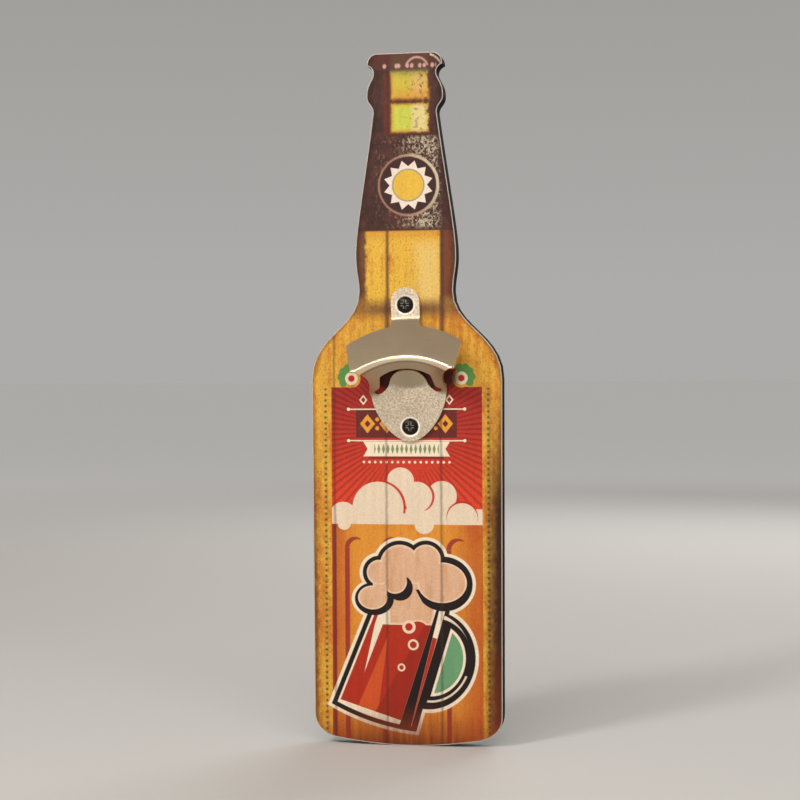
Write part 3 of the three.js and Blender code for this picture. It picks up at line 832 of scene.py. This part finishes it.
def roundedCopy(node, name, material, edge, segments=2, sharp=50):
    # the CAD solid again, merged, with its sharp edges eased
    mesh = bpy.data.meshes.new(name)
    shape = bmesh.new()
    shape.from_mesh(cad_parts[node].data)
    bmesh.ops.remove_doubles(shape, verts=shape.verts, dist=0.002 * mm)
    bmesh.ops.dissolve_limit(shape, angle_limit=math.radians(0.4), verts=shape.verts,
                             edges=shape.edges, use_dissolve_boundaries=False)
    corners = [e for e in shape.edges if len(e.link_faces) == 2
               and e.calc_face_angle() > math.radians(sharp)]
    bmesh.ops.bevel(shape, geom=corners, offset=edge * mm, offset_type="OFFSET", affect="EDGES",
                    segments=segments, profile=0.5, material=-1, clamp_overlap=True)
    shape.to_mesh(mesh)
    shape.free()
    return finishPiece(mesh, name, material, [node])


opener = {
    "tilt": -2.1, "screwZ": 55, "spacing": 70.3, "gauge": 2, "front": -12,
    "tabHalf": 8.3, "tabTop": 10, "tabBend": -7.5,
    "hoodSlope": 0.717, "hoodRadius": 59.4, "hoodApex": -12.1, "hoodCorner": (33.4, -22.4),
    "wingFoot": (29.9, -37.1), "foldRadius": 47.5, "foldApex": -30.8, "foldHalf": 25.6,
    "lipRadius": 27, "lipApex": -36.9, "lipHalf": 14.3, "legFoot": -51.6,
    "legHalf": 21.3, "legInner": 15.2, "legNarrow": -44.8, "footHalf": 22.6,
    "plateHalf": 21.7, "plateBottom": -78.8,
    "tongueTip": -37.8, "tongueHalf": 11.1, "tongueShoulder": -45.2, "tongueSag": -48,
    "tongueSlope": 0.64, "bend": 2.4, "hole": 5.1, "shank": 2.6, "edge": 0.28,
}


def spotOnBoard(w):                                # a point on the opener's axis, on the board
    tilt = math.radians(opener["tilt"])
    return w * math.sin(tilt), opener["screwZ"] + w * math.cos(tilt)


def arcDrop(radius, u):
    return radius - math.sqrt(max(radius * radius - u * u, 0))


def softMax(a, b, blend):
    overlap = max(blend - abs(a - b), 0) / blend
    return max(a, b) + overlap * overlap * blend / 4


def bendBlend(gap):
    return opener["bend"] * gap * gap / 2


def bracketRise(u, w):                             # height of the steel's front face above the board
    o = opener
    fold = o["foldApex"] - arcDrop(o["foldRadius"], min(abs(u), o["foldHalf"] + 2))
    hood = (o["tabBend"] - w) * o["hoodSlope"]
    legSlope = (o["tabBend"] - fold) * o["hoodSlope"] / (fold - o["legFoot"])
    jaw = (w - o["legFoot"]) * legSlope
    shell = -softMax(-hood, -jaw, bendBlend(o["hoodSlope"] + legSlope))
    bend = o["hoodSlope"] if w > (o["tabBend"] + o["legFoot"]) / 2 else legSlope
    return softMax(0, shell, bendBlend(bend))


def tongueRise(u, w):
    o = opener
    base = o["tongueSag"] + (o["tongueShoulder"] - o["tongueSag"]) * (u / o["tongueHalf"]) ** 2
    return softMax(0, (w - base) * o["tongueSlope"], bendBlend(o["tongueSlope"]))


def sheetRise(u, w):
    o, side = opener, abs(u)
    below = o["lipApex"] - 0.45 - arcDrop(o["lipRadius"], min(side, 20))
    legDrop = max(o["legNarrow"] - w, 0)
    if w < o["legFoot"] + 1:                       # the legs' bend fades out towards the tongue
        part = min(max((side - 15.5) / 5, 0), 1)
        part *= part * (3 - 2 * part)
        return o["gauge"] + tongueRise(u, w) * (1 - part) + bracketRise(u, w) * part
    if side < 13.2 + 0.15 * legDrop * legDrop and w < below:
        return o["gauge"] + tongueRise(u, w)
    return o["gauge"] + bracketRise(u, w)


def bezier(start, first, second, end, steps):
    points = []
    for i in range(1, steps + 1):
        t = i / steps
        weights = ((1 - t) ** 3, 3 * t * (1 - t) ** 2, 3 * t * t * (1 - t), t ** 3)
        points.append(tuple(sum(weight * p[k] for weight, p in zip(weights, (start, first, second, end)))
                            for k in (0, 1)))
    return points


def arc(centreW, radius, fromU, toU, steps, sign=1):   # arc about a point on the opener's axis
    first, last = math.asin(fromU / radius), math.asin(toU / radius)
    angles = [first + (last - first) * i / steps for i in range(steps + 1)]
    return [(radius * math.sin(a), centreW + sign * radius * math.cos(a)) for a in angles]


def bothHalves(half):
    return half + [(-u, w) for u, w in reversed(half) if abs(u) > 1e-6]


def bracketOutline():
    o = opener
    cornerU, cornerW = o["hoodCorner"]
    footU, footW = o["wingFoot"]
    tab, foldW = o["tabHalf"], o["foldApex"] - arcDrop(o["foldRadius"], o["foldHalf"])
    half = arc(o["tabTop"] - tab, tab, 0, tab, 12)
    half += [(tab, o["tabBend"] / 2), (tab, o["tabBend"])]
    half += bezier((tab + 0.3, o["tabBend"] - 3.6), (tab + 0.4, o["hoodApex"] - 0.2),
                   (tab + 0.6, o["hoodApex"] - 0.8), (tab + 2.3, o["hoodApex"] - 0.95), 5)
    half += arc(o["hoodApex"] - o["hoodRadius"], o["hoodRadius"], tab + 2.8, cornerU - 1.3, 18)
    half += bezier(half[-1], (cornerU - 0.1, cornerW + 0.3), (cornerU, cornerW - 0.2),
                   (cornerU - 0.3, cornerW - 1.7), 5)
    half += [(cornerU - 1.6, (cornerW + footW) / 2)]
    half += bezier((footU + 0.3, footW + 1.3), (footU + 0.1, footW + 0.2), (footU - 0.2, footW),
                   (footU - 1, footW - 0.25), 3)
    half += [(o["foldHalf"] + 0.6, foldW), (o["foldHalf"] - 0.5, foldW - 0.8)]
    half += bezier(half[-1], (o["foldHalf"] - 2.2, foldW - 1.9), (o["legHalf"], -41),
                   (o["legHalf"], o["legNarrow"]), 8)
    bendLow = (o["legHalf"], o["legFoot"] + 4.4)
    half += [bendLow]
    half += bezier(bendLow, (o["footHalf"] - 0.6, o["legFoot"] + 3.9),
                   (o["footHalf"] + 0.1, o["legFoot"] + 2.8), (o["footHalf"], o["legFoot"] + 1.8), 5)
    side = (o["plateHalf"], o["legFoot"] - 1.2)
    half += bezier(half[-1], (o["footHalf"] - 0.1, o["legFoot"] + 0.6),
                   (o["plateHalf"] + 0.2, o["legFoot"] - 0.2), side, 4)
    half += bezier(side, (o["plateHalf"] - 0.9, -62), (o["plateHalf"] / 2, o["plateBottom"]),
                   (0, o["plateBottom"]), 22)
    return bothHalves(half)


def windowOutline():                               # the opening round the tongue
    o = opener
    half = arc(o["lipApex"] - o["lipRadius"], o["lipRadius"], 0, o["lipHalf"], 10)
    half += bezier(half[-1], (o["legInner"], -41.9), (o["legInner"], o["legNarrow"]),
                   (o["legInner"] + 1, o["legFoot"] + 4.4), 8)
    half += bezier(half[-1], (17.4, o["legFoot"] + 2.6), (19.4, o["legFoot"] + 3),
                   (19.4, o["legFoot"] + 1.9), 6)
    half += bezier(half[-1], (19.3, o["legFoot"] + 0.6), (17.9, o["legFoot"] + 0.2),
                   (15.8, o["legFoot"] + 1.1), 6)
    half += bezier(half[-1], (13.6, o["legFoot"] + 2.4), (12.0, o["tongueShoulder"] - 2.2),
                   (o["tongueHalf"], o["tongueShoulder"]), 6)
    half += bezier(half[-1], (10, -41), (6.5, o["tongueTip"]), (0, o["tongueTip"]), 10)
    return half + [(-u, w) for u, w in reversed(half[1:-1])]


def holeOutline(w, radius, steps=28):
    return [(radius * math.cos(2 * math.pi * i / steps), w + radius * math.sin(2 * math.pi * i / steps))
            for i in range(steps)]


def cutRows(shape, rows, normal):
    for row in rows:
        bmesh.ops.bisect_plane(shape, geom=shape.verts[:] + shape.edges[:] + shape.faces[:], dist=1e-4,
                               plane_co=Vector(normal) * row, plane_no=normal)


def steps(start, end, size):
    count = max(round(abs(end - start) / size), 1)
    return [start + (end - start) * i / count for i in range(count + 1)]


def thickenSheet(shape, gauge):
    # a second skin behind the first, joined all round its edges
    skin, rims = shape.verts[:], [edge for edge in shape.edges if edge.is_boundary]
    copied = bmesh.ops.duplicate(shape, geom=shape.verts[:] + shape.edges[:] + shape.faces[:])
    twin = copied["vert_map"]
    for corner in skin:
        twin[corner].co = corner.co - corner.normal * gauge
    for edge in rims:
        a, b = edge.verts
        shape.faces.new((a, b, twin[b], twin[a]))
    bmesh.ops.recalc_face_normals(shape, faces=shape.faces)


def bentBracket(material):
    o = opener
    shape = bmesh.new()
    rings = [bracketOutline(), windowOutline(), holeOutline(0, o["hole"]),
             holeOutline(-o["spacing"], o["hole"])]
    borders = []
    for ring in rings:
        corners = [shape.verts.new((u, 0, w)) for u, w in ring]
        borders += [shape.edges.new((a, b)) for a, b in zip(corners, corners[1:] + corners[:1])]
    bmesh.ops.triangle_fill(shape, use_beauty=True, use_dissolve=True, edges=borders,
                            normal=(0, -1, 0))
    cutRows(shape, steps(-34, 34, 1.6), (1, 0, 0))
    cutRows(shape, steps(-4, -11, 0.6) + steps(-47.5, -56, 0.7) + steps(-38, -46, 1.6), (0, 0, 1))
    for corner in shape.verts:                     # straighten the front fold to cut along it
        corner.co.z += arcDrop(o["foldRadius"], corner.co.x)
    cutRows(shape, steps(o["foldApex"] + 4.2, o["foldApex"] - 4.2, 0.5), (0, 0, 1))
    cutRows(shape, steps(-14, -26, 3), (0, 0, 1))
    for corner in shape.verts:
        corner.co.z -= arcDrop(o["foldRadius"], corner.co.x)
    bmesh.ops.remove_doubles(shape, verts=shape.verts, dist=0.2)
    for corner in shape.verts:
        corner.co.y = o["front"] - sheetRise(corner.co.x, corner.co.z)
    bmesh.ops.recalc_face_normals(shape, faces=shape.faces)
    shape.normal_update()
    if sum(face.normal.y for face in shape.faces) > 0:
        bmesh.ops.reverse_faces(shape, faces=shape.faces)
        shape.normal_update()
    thickenSheet(shape, o["gauge"])
    for corner in shape.verts:                     # the holes narrow to the screws' shanks at the back
        for w in (0, -o["spacing"]):
            out = Vector((corner.co.x, 0, corner.co.z - w))
            if out.length < o["hole"] + 0.3 and corner.co.y > o["front"] - 0.5:
                corner.co.x *= o["shank"] / out.length
                corner.co.z = w + out.z * o["shank"] / out.length
    place = (Matrix.Translation((0, 0, o["screwZ"] * mm))
             @ Matrix.Rotation(math.radians(o["tilt"]), 4, "Y") @ Matrix.Scale(mm, 4))
    bmesh.ops.transform(shape, matrix=place, verts=shape.verts)
    mesh = bpy.data.meshes.new("opener_sheet")
    shape.to_mesh(mesh)
    shape.free()
    piece = finishPiece(mesh, "opener_sheet", material, ["opener_bracket"], 30)
    ease = piece.modifiers.new("ease", "BEVEL")
    ease.width = o["edge"] * mm
    ease.segments = 2
    ease.limit_method = "ANGLE"
    ease.angle_limit = math.radians(50)
    ease.use_clamp_overlap = True
    even = piece.modifiers.new("even", "WEIGHTED_NORMAL")
    even.weight = 60
    return piece


edges = {"board": 0.35, "print": 0.05, "screw": 0.06, "plate": 0.15, "smallScrew": 0.04}   # rounding, mm


def buildPieces():
    black, zinc = blackFinish(), zincFinish()
    roundedCopy("backing_board", "board_body", boardFinish(), edges["board"])
    roundedCopy("printed_face", "printed_sheet", printFinish(), edges["print"], 1)
    print("board and print")
    bentBracket(steelFinish())
    print("opener")
    for place in ("upper", "lower"):
        roundedCopy(f"opener_screw_{place}", f"opener_fixing_{place}", black,
                    edges["screw"])
        roundedCopy(f"hanger_plate_{place}", f"hanger_keyhole_{place}", zinc, edges["plate"])
        for end in ("low", "high"):
            roundedCopy(f"hanger_screw_{place}_{end}", f"hanger_fixing_{place}_{end}", zinc,
                        edges["smallScrew"])
    print("screws and hangers")


ground = {"half": 40, "paint": (0.72, 0.71, 0.69, 1), "haze": (0.25, 0.255, 0.26, 1), "hazeFrom": 500,
          "hazeFull": 2800}


def layFloor():
    shape = bmesh.new()
    bmesh.ops.create_grid(shape, x_segments=1, y_segments=1, size=ground["half"],
                          matrix=Matrix.Translation((0, 0, cadBox[0][2])))
    mesh = bpy.data.meshes.new("floor")
    shape.to_mesh(mesh)
    shape.free()
    floor = bpy.data.objects.new("floor", mesh)
    paint = Finish("paleFloor", Roughness=0.8, Emission_Strength=1)
    reach = paint.vector("LENGTH", paint.place(), out="Value")
    far = paint.ease(reach, ground["hazeFrom"], ground["hazeFull"])
    glow = paint.blend(far, (0, 0, 0, 1), ground["haze"])      # meets the sky without a line
    paint.put(Base_Color=ground["paint"], Emission_Color=glow)
    mesh.materials.append(paint.material)
    bpy.context.scene.collection.objects.link(floor)


placeCamera()
lightStudio()
layFloor()
print("stage")
buildPieces()
